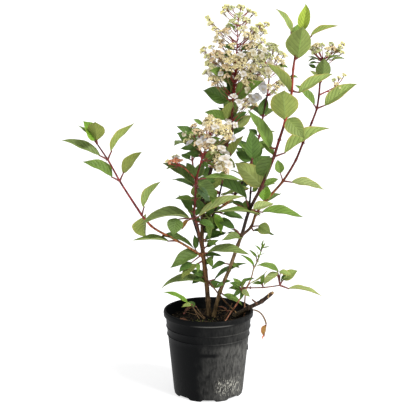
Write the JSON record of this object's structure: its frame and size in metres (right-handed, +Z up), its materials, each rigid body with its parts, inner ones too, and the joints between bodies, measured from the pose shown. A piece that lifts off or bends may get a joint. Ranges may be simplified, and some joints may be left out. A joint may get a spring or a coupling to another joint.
{
  "type": "potted hydrangea shrub",
  "caption": "Young panicle hydrangea shrub in a round black nursery pot: leaning red stems, paired pointed leaves and cone-shaped clusters of cream and white blossom.",
  "frame": {"origin": "centre of the pot's flat underside, on the surface it stands on", "axes": "+Z up along the pot's axis; -Y is the front; +X is to the right seen from the front, the way the taller right stem leans"},
  "size_m": [0.6956, 0.3838, 0.9455],
  "materials": {
    "pot_plastic": "satin",
    "potting_soil": "matte",
    "brown_bark": "matte",
    "red_bark": "satin",
    "dead_wood": "matte",
    "cut_wood": "matte",
    "green_stem": "matte",
    "leaf": "satin",
    "blossom": "matte"
  },
  "bodies": {
    "root": {"pot": "pot_plastic", "soil": "potting_soil", "stem_left": "brown_bark", "stem_right": "red_bark", "shoot_low_bloom": "red_bark", "twig_side_bloom": "red_bark", "bough_left_lower": "red_bark", "bough_left_upper": "red_bark", "stub_dead": "dead_wood", "shoot_back": "red_bark", "shoot_centre": "red_bark", "shoot_inner": "brown_bark", "bough_right_outer": "red_bark", "shoot_right_short": "red_bark", "shoot_low_right": "red_bark", "shoot_crossing": "brown_bark", "stub_cut": "cut_wood", "seedling_stem": "green_stem", "foliage_left_tip": "leaf", "foliage_left_upper": "leaf", "foliage_left_middle": "leaf", "foliage_left_bend": "leaf", "foliage_left_low": "leaf", "foliage_front": "leaf", "foliage_under_low_bloom": "leaf", "foliage_inner": "leaf", "foliage_heart": "leaf", "foliage_stem_middle": "leaf", "foliage_stem_high": "leaf", "foliage_under_tall_bloom": "leaf", "foliage_stem_low": "leaf", "foliage_stem_foot": "leaf", "foliage_right_foot": "leaf", "foliage_right_fork": "leaf", "foliage_right_inner_low": "leaf", "foliage_right_inner_middle": "leaf", "foliage_right_inner_upper": "leaf", "foliage_right_inner_high": "leaf", "foliage_right_top": "leaf", "foliage_right_short": "leaf", "foliage_right_low": "leaf", "foliage_outer_low": "leaf", "foliage_outer_middle": "leaf", "foliage_outer_upper": "leaf", "foliage_centre_low": "leaf", "foliage_centre_middle": "leaf", "foliage_centre_upper": "leaf", "foliage_back_low": "leaf", "foliage_back_high": "leaf", "foliage_low_shoot": "leaf", "foliage_low_sprouts": "leaf", "foliage_seedling": "leaf", "bloom_tall_upper": "blossom", "bloom_tall_lower": "blossom", "bloom_low": "blossom", "bloom_side": "blossom", "bloom_centre": "blossom", "bloom_right": "blossom"}
  },
  "joints": []
}
